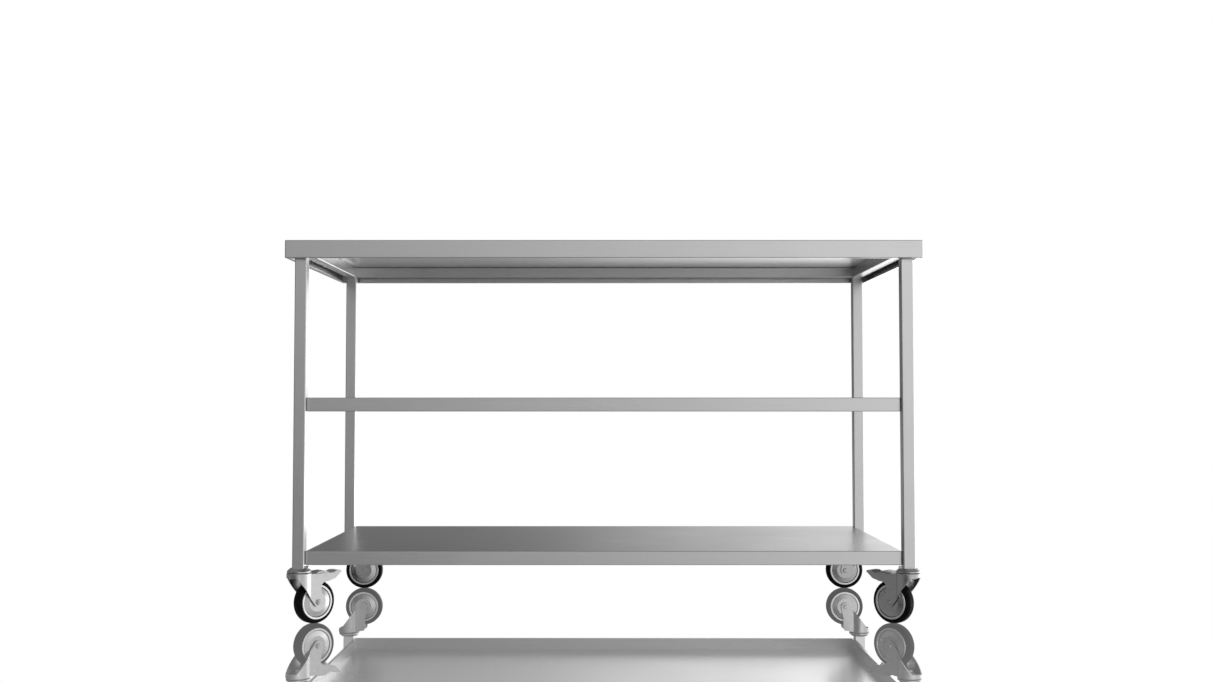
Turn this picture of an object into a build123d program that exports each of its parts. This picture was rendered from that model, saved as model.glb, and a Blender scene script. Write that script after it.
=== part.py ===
from build123d import *
import os

# Stainless kitchen work table on four swivel castors, in millimetres.
# Origin: on the floor, under the centre of the worktop. X runs along the table's length,
# Y from front to back, Z up. The two front castors have total-lock brakes.

# ---- table: driving dimensions ---------------------------------------------------------
TABLE_LENGTH = 1600.0
TABLE_DEPTH = 750.0
TABLE_HEIGHT = 964.0
OVERHANG = 21.0
WORKTOP_RIM = 45.0
WORKTOP_SHEET = 1.5
WORKTOP_LIP = 12.0
SHELF_RIM = 35.0
SHELF_SHEET = 1.2
SHELF_LIP = 10.0
SHEET_CORNER = 3.0
SHEET_BEND = 2.0
CLEAR_GAP = 350.0
TUBE = 30.0
TUBE_WALL = 1.5
TUBE_RADIUS = 2.5
CASTOR_HEIGHT = 142.0

# ---- castor: driving dimensions, X along the trail, Y along the axle --------------------
WHEEL_RADIUS = 54.3
TYRE_WIDTH = 31.0
TYRE_SHOULDER = 10.2
RIM_RADIUS = 43.7
RIM_INNER_RADIUS = 38.0
RIM_FACE = 16.2
GUARD_RADIUS = 36.5
TRAIL = 44.3
CROWN_RADIUS = 31.0
CROWN_TOP = 131.5
CROWN_BEND = 3.5
CROWN_SKIRT_BOTTOM = 118.0
FORK_SHEET = 3.0
FORK_HALF_WIDTH = 23.0
LOBE_RADIUS = 12.5
CUP_RADIUS = 30.0
CUP_SHEET = 2.5
CUP_SKIRT_BOTTOM = 132.3
CUP_SHOULDER = 135.0
CUP_FLAT_RADIUS = 22.5
FRONT_CASTOR_TURN = 45.0

# ---- castor bearing, from the bolt's head upwards --------------------------------------
BOLT_HEAD_BOTTOM = 111.0
BOLT_HEAD_FLATS = 18.0
BOLT_RADIUS = 6.0
BOLT_GRIP = 36.0
KINGPIN_FLANGE_BOTTOM = 118.5
KINGPIN_FLANGE_RADIUS = 14.0
KINGPIN_RADIUS = 9.0
RACE_BOTTOM = 121.0
RACE_TOP = 124.5
RACE_RADIUS = 21.0
INSERT_HEIGHT = 40.0
LOWER_BALLS = {"count": 12, "ring_radius": 16.0, "ball_radius": 1.95, "height": 126.5}
UPPER_BALLS = {"count": 16, "ring_radius": 22.0, "ball_radius": 3.9, "height": 135.5}

# ---- axle, brake and clearances --------------------------------------------------------
AXLE_RADIUS = 4.0
AXLE_HEAD_RADIUS = 6.5
AXLE_HEAD_HEIGHT = 3.5
AXLE_NUT_FLATS = 13.0
AXLE_NUT_HEIGHT = 4.5
AXLE_END = 1.5
AXLE_TUBE_RADIUS = 7.5
HUB_HALF_LENGTH = 15.0
RUNNING_CLEARANCE = 0.05
FREE_CLEARANCE = 0.1
PIN_RADIUS = 3.0
PIN_HEAD_RADIUS = 4.5
PIN_HEAD_HEIGHT = 0.3
PEDAL_PIVOT = (68.0, 119.0)
PEDAL_SHEET = 2.5
PEDAL_SIDE_GAP = 0.6
CAM_HALF_WIDTH = 6.0
SHOE_PIVOT = (40.0, 118.0)
SHOE_HALF_WIDTH = 6.5

# ---- derived places --------------------------------------------------------------------
LEG_X = TABLE_LENGTH / 2 - OVERHANG - TUBE / 2
LEG_Y = TABLE_DEPTH / 2 - OVERHANG - TUBE / 2
TUBE_INNER = TUBE - 2 * TUBE_WALL
FRAME_TOP = TABLE_HEIGHT - WORKTOP_SHEET
MIDDLE_SHELF_TOP = TABLE_HEIGHT - WORKTOP_RIM - CLEAR_GAP
LOWER_SHELF_TOP = MIDDLE_SHELF_TOP - SHELF_RIM - CLEAR_GAP
SHELF_LENGTH = 2 * LEG_X - TUBE
SHELF_DEPTH = 2 * LEG_Y
FORK_INNER = FORK_HALF_WIDTH - FORK_SHEET
AXLE = (TRAIL, WHEEL_RADIUS)
BEYOND = 50.0

# corner name: side of the table in X and Y, direction in which the castor trails, brake
CORNERS = {
    "front_left": (-1, -1, FRONT_CASTOR_TURN, True),
    "front_right": (1, -1, 180.0 - FRONT_CASTOR_TURN, True),
    "rear_left": (-1, 1, 0.0, False),
    "rear_right": (1, 1, 180.0, False),
}


# ---- general shapes --------------------------------------------------------------------
def upright(radius, low, high):
    """Cylinder on the Z axis between two heights."""
    return Pos(0, 0, low) * extrude(Circle(radius), high - low)


def side_plate(outline, low, high):
    """Outline in the XZ plane, drawn as (x, z), made solid between two Y values."""
    face = Plane.XZ * outline
    return Pos(0, high, 0) * extrude(face, high - low, dir=(0, -1, 0))


def side_polygon(points, radius=0.0):
    """Closed polygon, with all its corners rounded where a radius is given."""
    face = Polygon(*points, align=None)
    return fillet(face.vertices(), radius) if radius else face


def cross_pin(radius, place, low, high):
    """Cylinder along Y through an (x, z) place."""
    return side_plate(Pos(*place) * Circle(radius), low, high)


def hexagon(across_flats):
    return RegularPolygon(across_flats / 2, 6, major_radius=False)


def turned(points):
    """Solid of revolution about the Y axis from (radius, y) points."""
    return revolve(make_face(Polyline(*points, close=True)), Axis.Y)


def folded_tray(length, depth, rim, sheet, lip, top):
    """Flat sheet with its four edges folded down and a small lip folded inwards."""
    outer = Box(length, depth, rim)
    outer = fillet(outer.edges().filter_by(Axis.Z), SHEET_CORNER)
    outer = fillet(outer.faces().sort_by(Axis.Z)[-1].edges(), SHEET_BEND)
    outer = fillet(outer.faces().sort_by(Axis.Z)[0].edges(), SHEET_BEND)
    hollow = Box(length - 2 * sheet, depth - 2 * sheet, rim - 2 * sheet)
    hollow = fillet(hollow.edges().filter_by(Axis.Z), SHEET_CORNER - sheet)
    mouth = Pos(0, 0, -rim / 2) * Box(length - 2 * lip, depth - 2 * lip, 3 * sheet)
    return Pos(0, 0, top - rim / 2) * (outer - hollow - mouth)


def square_tube(length):
    """Square tube along Z, starting at the origin."""
    section = RectangleRounded(TUBE, TUBE, TUBE_RADIUS)
    section -= RectangleRounded(TUBE_INNER, TUBE_INNER, TUBE_RADIUS - TUBE_WALL)
    return extrude(section, length)


# ---- table frame -----------------------------------------------------------------------
def leg():
    return Pos(0, 0, CASTOR_HEIGHT) * square_tube(FRAME_TOP - CASTOR_HEIGHT)


def long_rail():
    """Tube under the worktop, between the left and the right legs."""
    tube = Rot(0, 90, 0) * square_tube(SHELF_LENGTH)
    return Pos(-SHELF_LENGTH / 2, 0, FRAME_TOP - TUBE / 2) * tube


def short_rail():
    """Tube under the worktop, between a front and a rear leg."""
    span = 2 * LEG_Y - TUBE
    tube = Rot(-90, 0, 0) * square_tube(span)
    return Pos(0, -span / 2, FRAME_TOP - TUBE / 2) * tube


# ---- castor: pieces fixed to the leg ---------------------------------------------------
def leg_insert():
    """Square plug inside the leg's end, with the thread for the castor bolt."""
    size = TUBE_INNER - FREE_CLEARANCE
    plug = extrude(RectangleRounded(size, size, TUBE_RADIUS - TUBE_WALL), INSERT_HEIGHT)
    plug = Pos(0, 0, CASTOR_HEIGHT) * plug
    return plug - upright(BOLT_RADIUS, CASTOR_HEIGHT - BEYOND, CASTOR_HEIGHT + BEYOND)


def castor_bolt():
    """Hexagon bolt, up through the hollow kingpin into the leg insert."""
    head_height = KINGPIN_FLANGE_BOTTOM - BOLT_HEAD_BOTTOM
    head = Pos(0, 0, BOLT_HEAD_BOTTOM) * extrude(hexagon(BOLT_HEAD_FLATS), head_height)
    return head + upright(BOLT_RADIUS, KINGPIN_FLANGE_BOTTOM, CASTOR_HEIGHT + BOLT_GRIP)


def kingpin():
    """Hollow rivet that holds the bearing together."""
    pin = upright(KINGPIN_RADIUS, KINGPIN_FLANGE_BOTTOM, CASTOR_HEIGHT)
    pin += upright(KINGPIN_FLANGE_RADIUS, KINGPIN_FLANGE_BOTTOM, RACE_BOTTOM)
    return pin - upright(BOLT_RADIUS + FREE_CLEARANCE, 0, CASTOR_HEIGHT + BEYOND)


def race_washer():
    """Lower bearing race, on the kingpin's flange."""
    return upright(RACE_RADIUS, RACE_BOTTOM, RACE_TOP) - upright(KINGPIN_RADIUS, 0, RACE_TOP + BEYOND)


def head_cup(braked, inboard):
    """Pressed upper bearing cup; a braked castor's has a tab that keeps it square to the leg."""
    ceiling = CASTOR_HEIGHT - CUP_SHEET
    outline = Polyline(
        (KINGPIN_RADIUS, CASTOR_HEIGHT),
        (CUP_FLAT_RADIUS, CASTOR_HEIGHT),
        (CUP_RADIUS, CUP_SHOULDER),
        (CUP_RADIUS, CUP_SKIRT_BOTTOM),
        (CUP_RADIUS - CUP_SHEET, CUP_SKIRT_BOTTOM),
        (CUP_RADIUS - CUP_SHEET, CUP_SHOULDER - 0.5),
        (CUP_FLAT_RADIUS + CUP_SHEET, ceiling),
        (KINGPIN_RADIUS, ceiling),
        close=True,
    )
    cup = revolve(Plane.XZ * make_face(outline), Axis.Z)
    if not braked:
        return cup
    tab_size = (8.5, 10.0, 7.0)
    tab = Box(*tab_size, align=(Align.MIN, Align.CENTER, Align.MIN))
    outer_edge = tab.edges().filter_by(Axis.Y).group_by(Axis.Z)[-1].sort_by(Axis.X)[-1]
    tab = Pos(TUBE / 2 + FREE_CLEARANCE, 0, CASTOR_HEIGHT - 2.0) * fillet(outer_edge, 3.0)
    return cup + (tab if inboard > 0 else Rot(0, 0, 180) * tab)


# ---- castor: pieces that swivel --------------------------------------------------------
def fork_envelope(braked):
    """Side view of the fork made solid: crown, sloping front edge, axle lobe, upright rear edge."""
    reach = CROWN_RADIUS + 1
    envelope = side_plate(side_polygon([
        (-reach, CROWN_TOP + 1),
        (-reach, CROWN_SKIRT_BOTTOM + 3.5),
        (-27.0, CROWN_SKIRT_BOTTOM),
        (-20.5, CROWN_SKIRT_BOTTOM),
        (TRAIL - 9.9, WHEEL_RADIUS - 7.65),
        (TRAIL + LOBE_RADIUS - 0.1, WHEEL_RADIUS + 3),
        (51.5, 85.0),
        (50.5, 118.0),
        (47.0, 124.0),
        (reach, 126.0),
        (reach, CROWN_TOP + 1),
    ]), -reach, reach)
    envelope += cross_pin(LOBE_RADIUS, AXLE, -reach, reach)
    if braked:
        envelope += side_plate(side_polygon([
            (30.0, 124.0), (30.0, 95.0), (50.0, 95.0), (58.0, 103.5), (75.0, 105.5),
            (85.0, 110.0), (85.0, 121.0), (77.0, 125.5), (62.0, 127.0),
        ]), -reach, reach)
    return envelope


def fork(braked):
    """Deep-drawn fork: round crown that runs down into two flat blades."""
    low = WHEEL_RADIUS - LOBE_RADIUS - 1
    blade_top = 127.0
    blade_reach = 100.0
    ceiling = CROWN_TOP - FORK_SHEET
    crown = upright(CROWN_RADIUS, low, CROWN_TOP)
    crown = fillet(crown.faces().sort_by(Axis.Z)[-1].edges(), CROWN_BEND)
    from_floor = (Align.MIN, Align.CENTER, Align.MIN)
    blades = Pos(0, 0, low) * Box(blade_reach, 2 * FORK_HALF_WIDTH, blade_top - low, align=from_floor)
    inside = upright(CROWN_RADIUS - FORK_SHEET, low - 1, ceiling)
    inside += Pos(0, 0, low - 1) * Box(blade_reach + 1, 2 * FORK_INNER, ceiling - low + 1, align=from_floor)
    body = (crown + blades - inside) & fork_envelope(braked)
    body -= upright(KINGPIN_RADIUS + 1, ceiling - BEYOND, CROWN_TOP + 1)
    body -= cross_pin(AXLE_RADIUS + FREE_CLEARANCE, AXLE, -BEYOND, BEYOND)
    if braked:
        notch = Box(12, 15, 10, align=(Align.MIN, Align.CENTER, Align.CENTER))
        body -= Pos(23.5, 0, CROWN_TOP) * notch
        for place in (PEDAL_PIVOT, SHOE_PIVOT):
            body -= cross_pin(PIN_RADIUS, place, -BEYOND, BEYOND)
    return body


def ball_ring(count, ring_radius, ball_radius, height):
    balls = []
    for index in range(count):
        turn = Rot(0, 0, index * 360 / count)
        balls.append(turn * Pos(ring_radius, 0, height) * Sphere(ball_radius))
    return balls


def race_balls():
    """Upper and lower rings of bearing balls, each ball a separate solid."""
    return Compound(children=ball_ring(**UPPER_BALLS) + ball_ring(**LOWER_BALLS))


def axle_bolt():
    """Round-headed axle bolt, head on the left of the trail."""
    head = cross_pin(AXLE_HEAD_RADIUS, AXLE, FORK_HALF_WIDTH, FORK_HALF_WIDTH + AXLE_HEAD_HEIGHT)
    head = fillet(head.faces().sort_by(Axis.Y)[-1].edges(), AXLE_HEAD_HEIGHT / 2)
    end = FORK_HALF_WIDTH + AXLE_NUT_HEIGHT + AXLE_END
    return head + cross_pin(AXLE_RADIUS, AXLE, -end, FORK_HALF_WIDTH)


def axle_nut():
    face = Pos(*AXLE) * hexagon(AXLE_NUT_FLATS)
    nut = side_plate(face, -FORK_HALF_WIDTH - AXLE_NUT_HEIGHT, -FORK_HALF_WIDTH)
    return nut - cross_pin(AXLE_RADIUS, AXLE, -BEYOND, 0)


def axle_tube():
    """Spacer tube clamped between the blades; the wheel turns on it."""
    tube = cross_pin(AXLE_TUBE_RADIUS, AXLE, -FORK_INNER, FORK_INNER)
    return tube - cross_pin(AXLE_RADIUS + FREE_CLEARANCE, AXLE, -BEYOND, BEYOND)


def thread_guards():
    """Dished cover discs, one each side of the wheel, held by the axle tube."""
    bore = AXLE_TUBE_RADIUS + FREE_CLEARANCE
    inner_face = HUB_HALF_LENGTH + 0.4
    guard = turned([
        (bore, inner_face), (22.0, inner_face), (GUARD_RADIUS - 1, 12.5), (GUARD_RADIUS, 12.5),
        (GUARD_RADIUS, 14.4), (23.5, 17.2), (12.0, 17.2), (11.0, FORK_INNER), (bore, FORK_INNER),
    ])
    return Pos(TRAIL, 0, WHEEL_RADIUS) * Compound(children=[guard, Rot(0, 0, 180) * guard])


# ---- castor: pieces that roll ----------------------------------------------------------
def wheel_core():
    """Wheel centre: hub, web and rim."""
    bore = AXLE_TUBE_RADIUS + RUNNING_CLEARANCE
    half = [
        (bore, HUB_HALF_LENGTH), (14.0, HUB_HALF_LENGTH), (15.0, 5.0), (RIM_INNER_RADIUS - 1, 4.0),
        (RIM_INNER_RADIUS, RIM_FACE - 0.6), (RIM_INNER_RADIUS + 0.6, RIM_FACE),
        (RIM_RADIUS - 1, RIM_FACE), (RIM_RADIUS, RIM_FACE - 1),
    ]
    mirrored = [(radius, -y) for radius, y in reversed(half)]
    return Pos(TRAIL, 0, WHEEL_RADIUS) * turned(half + mirrored)


def tyre():
    """Solid rubber tyre with rounded shoulders."""
    half = TYRE_WIDTH / 2
    band = turned([(RIM_RADIUS, half), (WHEEL_RADIUS, half), (WHEEL_RADIUS, -half), (RIM_RADIUS, -half)])
    outer_edges = band.edges().filter_by(GeomType.CIRCLE).group_by(SortBy.RADIUS)[-1]
    return Pos(TRAIL, 0, WHEEL_RADIUS) * fillet(outer_edges, TYRE_SHOULDER)


# ---- castor: brake ---------------------------------------------------------------------
def pedal():
    """Pressed pedal: a lock pad at the tip, a release pad beside the head, and a cam below."""
    half = FORK_INNER - PEDAL_SIDE_GAP
    pivot_x, pivot_z = PEDAL_PIVOT
    outline = side_polygon([
        (37.0, 126.5), (46.0, 130.0), (67.0, 131.0), (80.0, 124.5), (88.0, 124.5), (99.0, 129.0),
        (111.0, 129.0), (113.5, 126.0), (95.0, 110.5), (86.0, 107.5), (59.0, 107.5), (46.0, 122.0),
        (37.0, 123.0),
    ], 1.0)
    body = side_plate(outline, -half, half)
    body -= side_plate(Pos(0, -PEDAL_SHEET) * outline, PEDAL_SHEET - half, half - PEDAL_SHEET)
    body += cross_pin(5.5, PEDAL_PIVOT, -CAM_HALF_WIDTH, CAM_HALF_WIDTH)
    body += cross_pin(4.2, (pivot_x + 7.0, pivot_z - 6.5), -CAM_HALF_WIDTH, CAM_HALF_WIDTH)
    web = side_polygon([(62.0, 114.0), (62.0, 129.5), (67.0, 130.0), (76.5, 125.0), (77.0, 113.0)])
    body += side_plate(web, -CAM_HALF_WIDTH, CAM_HALF_WIDTH)
    return body - cross_pin(PIN_RADIUS + RUNNING_CLEARANCE, PEDAL_PIVOT, -BEYOND, BEYOND)


def brake_shoe():
    """Rocking shoe: its flat underside drops to the tyre as its tooth rises to the bearing cup."""
    outline = side_polygon([
        (25.0, 121.0), (25.0, 131.3), (29.0, 131.3), (30.0, 123.0), (45.0, 122.5), (58.0, 113.0),
        (80.0, 105.5), (80.0, 102.7), (34.0, 114.6),
    ])
    body = side_plate(outline, -SHOE_HALF_WIDTH, SHOE_HALF_WIDTH)
    return body - cross_pin(PIN_RADIUS + RUNNING_CLEARANCE, SHOE_PIVOT, -BEYOND, BEYOND)


def riveted_pin(place):
    """Cross pin through both blades with a flat head outside each."""
    outer = FORK_HALF_WIDTH + PIN_HEAD_HEIGHT
    pin = cross_pin(PIN_RADIUS, place, -outer, outer)
    pin += cross_pin(PIN_HEAD_RADIUS, place, FORK_HALF_WIDTH, outer)
    return pin + cross_pin(PIN_HEAD_RADIUS, place, -outer, -FORK_HALF_WIDTH)


# ---- assembly --------------------------------------------------------------------------
def table_nodes():
    shelf = (SHELF_LENGTH, SHELF_DEPTH, SHELF_RIM, SHELF_SHEET, SHELF_LIP)
    nodes = {
        "worktop": folded_tray(TABLE_LENGTH, TABLE_DEPTH, WORKTOP_RIM, WORKTOP_SHEET,
                               WORKTOP_LIP, TABLE_HEIGHT),
        "shelf_middle": folded_tray(*shelf, MIDDLE_SHELF_TOP),
        "shelf_lower": folded_tray(*shelf, LOWER_SHELF_TOP),
        "rail_front": Pos(0, -LEG_Y, 0) * long_rail(),
        "rail_rear": Pos(0, LEG_Y, 0) * long_rail(),
        "rail_left": Pos(-LEG_X, 0, 0) * short_rail(),
        "rail_right": Pos(LEG_X, 0, 0) * short_rail(),
    }
    for corner, (side_x, side_y, _, _) in CORNERS.items():
        nodes[f"leg_{corner}"] = Pos(side_x * LEG_X, side_y * LEG_Y, 0) * leg()
    return nodes


def fixed_castor_nodes():
    """Pieces held to the legs; the hidden fasteners share a node, the cups have their own."""
    groups = {
        "leg_inserts": leg_insert,
        "castor_bolts": castor_bolt,
        "kingpins": kingpin,
        "race_washers": race_washer,
    }
    nodes = {}
    for name, make in groups.items():
        copies = []
        for side_x, side_y, _, _ in CORNERS.values():
            copies.append(Pos(side_x * LEG_X, side_y * LEG_Y, 0) * make())
        nodes[name] = Compound(children=copies)
    for corner, (side_x, side_y, _, braked) in CORNERS.items():
        nodes[f"head_cup_{corner}"] = Pos(side_x * LEG_X, side_y * LEG_Y, 0) * head_cup(braked, -side_x)
    return nodes


def castor_pieces(braked):
    pieces = {
        "fork": fork(braked),
        "race_balls": race_balls(),
        "axle_bolt": axle_bolt(),
        "axle_nut": axle_nut(),
        "axle_tube": axle_tube(),
        "thread_guards": thread_guards(),
        "wheel_core": wheel_core(),
        "tyre": tyre(),
    }
    if braked:
        pieces["pedal"] = pedal()
        pieces["pedal_pin"] = riveted_pin(PEDAL_PIVOT)
        pieces["brake_shoe"] = brake_shoe()
        pieces["shoe_pin"] = riveted_pin(SHOE_PIVOT)
    return pieces


def moving_castor_nodes():
    nodes = {}
    for corner, (side_x, side_y, turn, braked) in CORNERS.items():
        place = Pos(side_x * LEG_X, side_y * LEG_Y, 0) * Rot(0, 0, turn)
        for name, piece in castor_pieces(braked).items():
            nodes[f"{name}_{corner}"] = place * piece
    return nodes


os.makedirs("parts", exist_ok=True)
for node_name, shape in (table_nodes() | fixed_castor_nodes() | moving_castor_nodes()).items():
    export_step(shape, f"parts/{node_name}.step")
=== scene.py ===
import math

import bpy
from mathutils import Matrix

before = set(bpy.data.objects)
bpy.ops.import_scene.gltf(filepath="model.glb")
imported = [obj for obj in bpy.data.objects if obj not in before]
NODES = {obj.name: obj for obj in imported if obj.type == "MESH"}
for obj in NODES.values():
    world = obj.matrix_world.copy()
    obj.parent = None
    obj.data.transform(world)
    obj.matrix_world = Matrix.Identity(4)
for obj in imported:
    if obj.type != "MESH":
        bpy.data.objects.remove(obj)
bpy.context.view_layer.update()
CORNERS = ("front_left", "front_right", "rear_left", "rear_right")

# ---- driving values --------------------------------------------------------------------
STEEL_GREY = 0.62
STEEL_ROUGHNESS = 0.30
TONE_SWING = 0.3
NOISE_ROUGHNESS = 0.6
CAMERA_PLACE = (0.0080, -3.771, 0.5638)
CAMERA_PITCH = 0.0431
CAMERA_LENS = 40.33
FLOOR_REACH = 60.0
FLOOR_MIRROR = [(0.3, 0.08), (0.78, 0.85), (0.85, 0.905), (1.0, 0.97)]

# Levels of the studio that the steel mirrors, from the left (0) to the right (1).
FRONT_SURROUND = [
    (0.0, 0.0), (0.2, 0.04), (0.35, 0.18), (0.42, 0.27), (0.5, 0.42), (0.58, 0.75), (0.64, 0.95),
    (0.75, 0.7), (0.9, 0.4), (1.0, 0.35),
]
SIDE_SURROUND = [(0.0, 0.15), (0.35, 0.16), (0.5, 0.42), (0.62, 1.0), (1.0, 0.68)]
BACK_SURROUND = [
    (0.0, 0.14), (0.35, 0.16), (0.44, 0.19), (0.47, 0.24), (0.485, 0.29), (0.5, 0.42),
    (0.52, 0.55), (0.545, 0.68), (0.58, 1.0), (0.66, 1.9), (1.0, 1.7),
]
FRONT_GAIN = 1.14
BACK_GAIN_BELOW_HORIZON = 1.95
OFF_LEVEL_LIMIT = 0.78
STEEP_LEVEL = 0.27


# ---- node helpers ----------------------------------------------------------------------
class Graph:
    """Small wrapper that adds nodes to a node tree and links their sockets."""

    def __init__(self, tree):
        self.tree = tree
        tree.nodes.clear()

    def add(self, kind, inputs=None, **settings):
        node = self.tree.nodes.new("ShaderNode" + kind)
        for name, value in settings.items():
            setattr(node, name, value)
        for key, value in (inputs or {}).items():
            self.feed(node.inputs[key], value)
        return node

    def feed(self, socket, value):
        if isinstance(value, bpy.types.NodeSocket):
            self.tree.links.new(value, socket)
        else:
            socket.default_value = value

    def math(self, operation, *values):
        return self.add("Math", dict(enumerate(values)), operation=operation).outputs[0]

    def remap(self, value, low, high, to_low, to_high, smooth=False):
        inputs = {"Value": value, "From Min": low, "From Max": high, "To Min": to_low, "To Max": to_high}
        kind = "SMOOTHSTEP" if smooth else "LINEAR"
        return self.add("MapRange", inputs, interpolation_type=kind).outputs["Result"]

    def ramp(self, value, stops):
        """Piecewise-linear curve through (place, level) stops."""
        node = self.add("ValToRGB", {"Fac": value})
        elements = node.color_ramp.elements
        while len(elements) < len(stops):
            elements.new(0.5)
        for element, (place, level) in zip(elements, stops):
            element.position = place
            element.color = grey(level)
        return self.add("SeparateColor", {"Color": node.outputs["Color"]}).outputs["Red"]

    def blend(self, factor, low, high):
        inputs = {"Factor": factor, 6: low, 7: high}
        return self.add("Mix", inputs, data_type="RGBA").outputs[2]


def grey(value):
    return (value, value, value, 1.0)


# ---- materials -------------------------------------------------------------------------
def new_material(name):
    material = bpy.data.materials.new(name)
    material.use_nodes = True
    return material, Graph(material.node_tree)


def stretched_noise(graph, place, stretch, detail):
    """Noise whose scale differs along each axis, in cells per metre."""
    moved = graph.add("VectorMath", {0: place, 1: stretch}, operation="MULTIPLY").outputs[0]
    inputs = {"Vector": moved, "Scale": 1.0, "Detail": detail, "Roughness": NOISE_ROUGHNESS}
    return graph.add("TexNoise", inputs).outputs["Fac"]


def along(axis, long_scale, cross_scale):
    return tuple(long_scale if i == axis else cross_scale for i in range(3))


def around_grey(graph, tone, base):
    """Grey that varies about a base with a signed tone."""
    return graph.blend(graph.math("ADD", tone, 0.5), grey(base - TONE_SWING), grey(base + TONE_SWING))


def metal(graph, colour, rough, bump):
    shader = graph.add("BsdfPrincipled", {
        "Base Color": colour, "Metallic": 1.0, "Roughness": rough, "Normal": bump,
    })
    graph.add("OutputMaterial", {"Surface": shader.outputs[0]})


def brushed_steel(name, axis):
    """Stainless steel brushed along one axis: fine scratches, broad streaks, faint smudges."""
    material, g = new_material(name)
    place = g.add("TexCoord").outputs["Object"]
    fine = stretched_noise(g, place, along(axis, 14.0, 2600.0), 3.0)
    broad = stretched_noise(g, place, along(axis, 2.5, 190.0), 4.0)
    cloud = stretched_noise(g, place, (5.0, 5.0, 5.0), 3.0)
    speck = stretched_noise(g, place, (420.0, 420.0, 420.0), 2.0)
    tone = g.math("ADD", g.remap(broad, 0.3, 0.7, -0.016, 0.016), g.remap(cloud, 0.3, 0.7, -0.012, 0.012))
    tone = g.math("ADD", tone, g.remap(fine, 0.3, 0.7, -0.02, 0.02))
    rough = g.math("ADD", g.remap(fine, 0.25, 0.75, -0.04, 0.04), g.remap(cloud, 0.3, 0.7, -0.02, 0.03))
    rough = g.math("ADD", rough, STEEL_ROUGHNESS)
    height = g.math("ADD", g.math("MULTIPLY", fine, 0.8), g.math("MULTIPLY", speck, 0.35))
    bump = g.add("Bump", {"Height": height, "Strength": 0.14, "Distance": 0.0004}).outputs["Normal"]
    metal(g, around_grey(g, tone, STEEL_GREY), rough, bump)
    return material


def zinc_steel(name, base, roughness, mottle):
    """Zinc-plated pressed steel: mottled crystals, small scuffs."""
    material, g = new_material(name)
    place = g.add("TexCoord").outputs["Object"]
    cells = g.add("TexVoronoi", {"Vector": place, "Scale": 260.0}).outputs["Color"]
    cells = g.add("SeparateColor", {"Color": cells}).outputs["Red"]
    cloud = stretched_noise(g, place, (90.0, 90.0, 90.0), 4.0)
    scuff = stretched_noise(g, place, (60.0, 700.0, 240.0), 3.0)
    tone = g.math("ADD", g.remap(cells, 0.0, 1.0, -mottle, mottle), g.remap(cloud, 0.3, 0.7, -mottle, mottle))
    tone = g.math("ADD", tone, g.remap(scuff, 0.62, 0.75, 0.0, -0.10))
    rough = g.math("ADD", g.remap(cells, 0.0, 1.0, -0.04, 0.04), g.remap(cloud, 0.3, 0.7, -0.05, 0.05))
    rough = g.math("ADD", rough, roughness)
    bump = g.add("Bump", {"Height": cloud, "Strength": 0.25, "Distance": 0.0003}).outputs["Normal"]
    metal(g, around_grey(g, tone, base), rough, bump)
    return material


def rubber(name):
    """Black rubber with a dusty bloom."""
    material, g = new_material(name)
    place = g.add("TexCoord").outputs["Object"]
    cloud = stretched_noise(g, place, (45.0, 45.0, 45.0), 4.0)
    grain = stretched_noise(g, place, (1800.0, 1800.0, 1800.0), 2.0)
    colour = g.blend(g.remap(cloud, 0.35, 0.7, 0.0, 1.0), grey(0.003), grey(0.008))
    rough = g.math("ADD", g.remap(cloud, 0.3, 0.7, -0.06, 0.08), 0.45)
    bump = g.add("Bump", {"Height": grain, "Strength": 0.25, "Distance": 0.0001}).outputs["Normal"]
    shader = g.add("BsdfPrincipled", {
        "Base Color": colour, "Roughness": rough, "Normal": bump, "Specular IOR Level": 0.06,
    })
    g.add("OutputMaterial", {"Surface": shader.outputs[0]})
    return material


def paint(material, *names):
    for name in names:
        mesh = NODES[name].data
        mesh.materials.clear()
        mesh.materials.append(material)


steel_x = brushed_steel("steel_along_x", 0)
steel_y = brushed_steel("steel_along_y", 1)
steel_z = brushed_steel("steel_along_z", 2)
pressed = zinc_steel("zinc_pressed", 0.54, 0.34, 0.03)
bright = zinc_steel("zinc_bright", 0.5, 0.34, 0.02)
polished = zinc_steel("bearing_polished", 0.62, 0.12, 0.01)
silver_rim = zinc_steel("wheel_silver", 0.74, 0.30, 0.015)
silver_guard = zinc_steel("guard_silver", 0.50, 0.28, 0.02)
tyre_black = rubber("tyre_black")

paint(steel_x, "worktop", "shelf_middle", "shelf_lower", "rail_front", "rail_rear")
paint(steel_y, "rail_left", "rail_right")
paint(pressed, "kingpins", "race_washers")
paint(bright, "leg_inserts", "castor_bolts")
for corner in CORNERS:
    paint(steel_z, f"leg_{corner}")
    paint(pressed, f"fork_{corner}", f"head_cup_{corner}")
    paint(bright, f"axle_bolt_{corner}", f"axle_nut_{corner}", f"axle_tube_{corner}")
    paint(polished, f"race_balls_{corner}")
    paint(silver_rim, f"wheel_core_{corner}")
    paint(silver_guard, f"thread_guards_{corner}")
    paint(tyre_black, f"tyre_{corner}")
    if corner.startswith("front"):
        paint(pressed, f"pedal_{corner}", f"brake_shoe_{corner}")
        paint(pressed, f"pedal_pin_{corner}", f"shoe_pin_{corner}")


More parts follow.
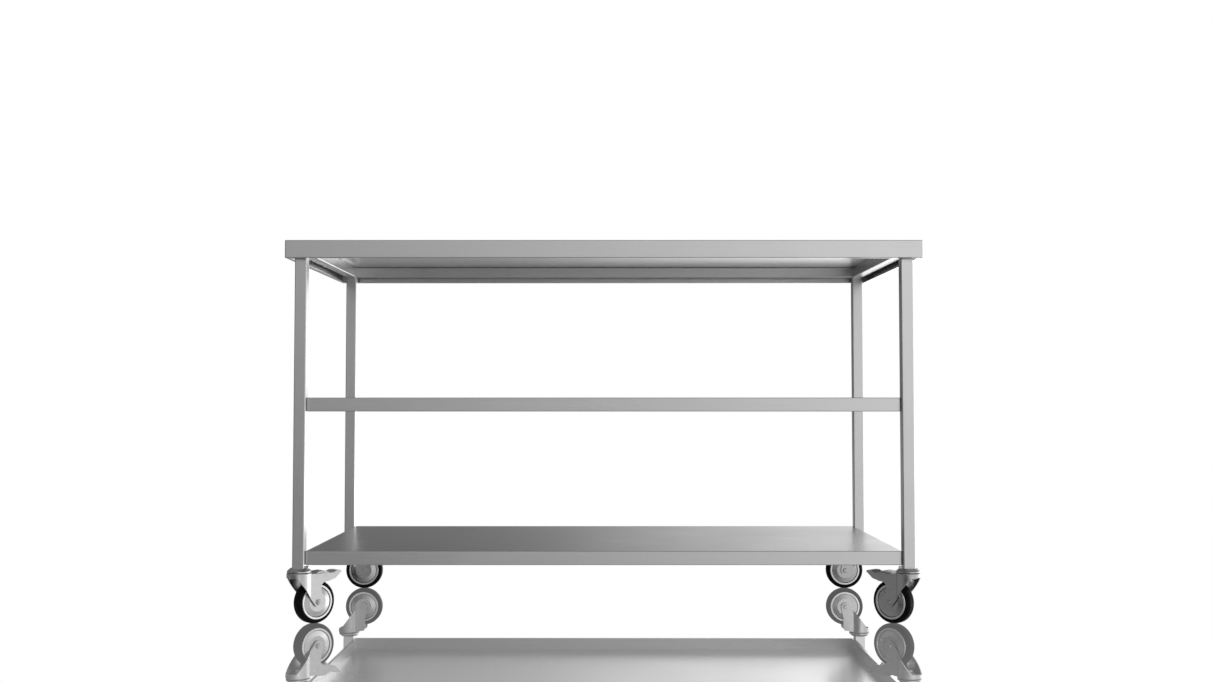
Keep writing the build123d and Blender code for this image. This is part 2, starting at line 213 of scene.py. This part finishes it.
# ---- floor -----------------------------------------------------------------------------
def make_floor():
    """White glossy studio floor; it is see-through from below, so the underside can be viewed."""
    material, g = new_material("studio_floor")
    facing = g.add("LayerWeight", {"Blend": 0.5}).outputs["Facing"]
    mirror = g.ramp(facing, FLOOR_MIRROR)
    gloss = g.add("BsdfGlossy", {"Color": grey(1.0), "Roughness": 0.0}).outputs[0]
    white = g.add("Emission", {"Color": grey(1.0), "Strength": 1.0}).outputs[0]
    top = g.add("MixShader", {0: mirror, 1: white, 2: gloss}).outputs[0]
    behind = g.add("NewGeometry").outputs["Backfacing"]
    clear = g.add("BsdfTransparent").outputs[0]
    surface = g.add("MixShader", {0: behind, 1: top, 2: clear}).outputs[0]
    g.add("OutputMaterial", {"Surface": surface})
    mesh = bpy.data.meshes.new("studio_floor")
    corners = [(x * FLOOR_REACH, y * FLOOR_REACH, 0.0) for x, y in ((-1, -1), (1, -1), (1, 1), (-1, 1))]
    mesh.from_pydata(corners, [], [(0, 1, 2, 3)])
    mesh.materials.append(material)
    floor = bpy.data.objects.new("studio_floor", mesh)
    bpy.context.scene.collection.objects.link(floor)
    floor.visible_glossy = False
    floor.visible_diffuse = False
    floor.visible_shadow = False


# ---- studio ----------------------------------------------------------------------------
def make_world():
    """Studio that is white to the camera and to a sharp mirror; rough steel mirrors the grey surround."""
    world = bpy.data.worlds.new("studio")
    bpy.context.scene.world = world
    world.use_nodes = True
    g = Graph(world.node_tree)
    axes = g.add("SeparateXYZ", {0: g.add("TexCoord").outputs["Generated"]})
    x, y, z = axes.outputs
    side = g.remap(x, -1.0, 1.0, 0.0, 1.0)
    front_side = g.ramp(side, FRONT_SURROUND)
    middle_side = g.ramp(side, SIDE_SURROUND)
    back_side = g.ramp(side, BACK_SURROUND)
    back_gain = g.remap(z, -0.06, 0.02, BACK_GAIN_BELOW_HORIZON, 1.0, True)
    front = g.remap(y, -0.9, -0.2, 1.0, 0.0, True)
    back = g.remap(y, -0.05, 0.25, 0.0, 1.0, True)
    front_level = g.math("MULTIPLY", front_side, FRONT_GAIN)
    front_level = g.math("ADD", front_level, g.remap(z, -0.15, 0.1, -0.08, 0.28))
    rear_level = g.add("Mix", {"Factor": back, 2: middle_side, 3: back_side}).outputs[0]
    rear_level = g.math("MULTIPLY", rear_level, back_gain)
    around = g.add("Mix", {"Factor": front, 2: rear_level, 3: front_level}).outputs[0]
    tilt = g.math("ABSOLUTE", z)
    off_level = g.remap(tilt, 0.19, 0.38, 0.0, 1.0, True)
    calmed = g.math("MINIMUM", around, OFF_LEVEL_LIMIT)
    around = g.add("Mix", {"Factor": off_level, 2: around, 3: calmed}).outputs[0]
    steep = g.remap(tilt, 0.35, 0.75, 0.0, 1.0, True)
    surround = g.add("Mix", {"Factor": steep, 2: around, 3: STEEP_LEVEL}).outputs[0]
    path = g.add("LightPath").outputs
    seen = g.math("MAXIMUM", path["Is Camera Ray"], path["Is Singular Ray"])
    strength = g.add("Mix", {"Factor": seen, 2: surround, 3: 1.0}).outputs[0]
    background = g.add("Background", {"Color": grey(1.0), "Strength": strength}).outputs[0]
    g.add("OutputWorld", {"Surface": background})


def make_camera():
    data = bpy.data.cameras.new("camera")
    data.sensor_width = 36.0
    data.lens = CAMERA_LENS
    camera = bpy.data.objects.new("camera", data)
    camera.location = CAMERA_PLACE
    camera.rotation_euler = (math.pi / 2 + CAMERA_PITCH, 0.0, 0.0)
    bpy.context.scene.collection.objects.link(camera)
    bpy.context.scene.camera = camera


make_floor()
make_world()
make_camera()
bpy.context.scene.view_settings.view_transform = "Standard"
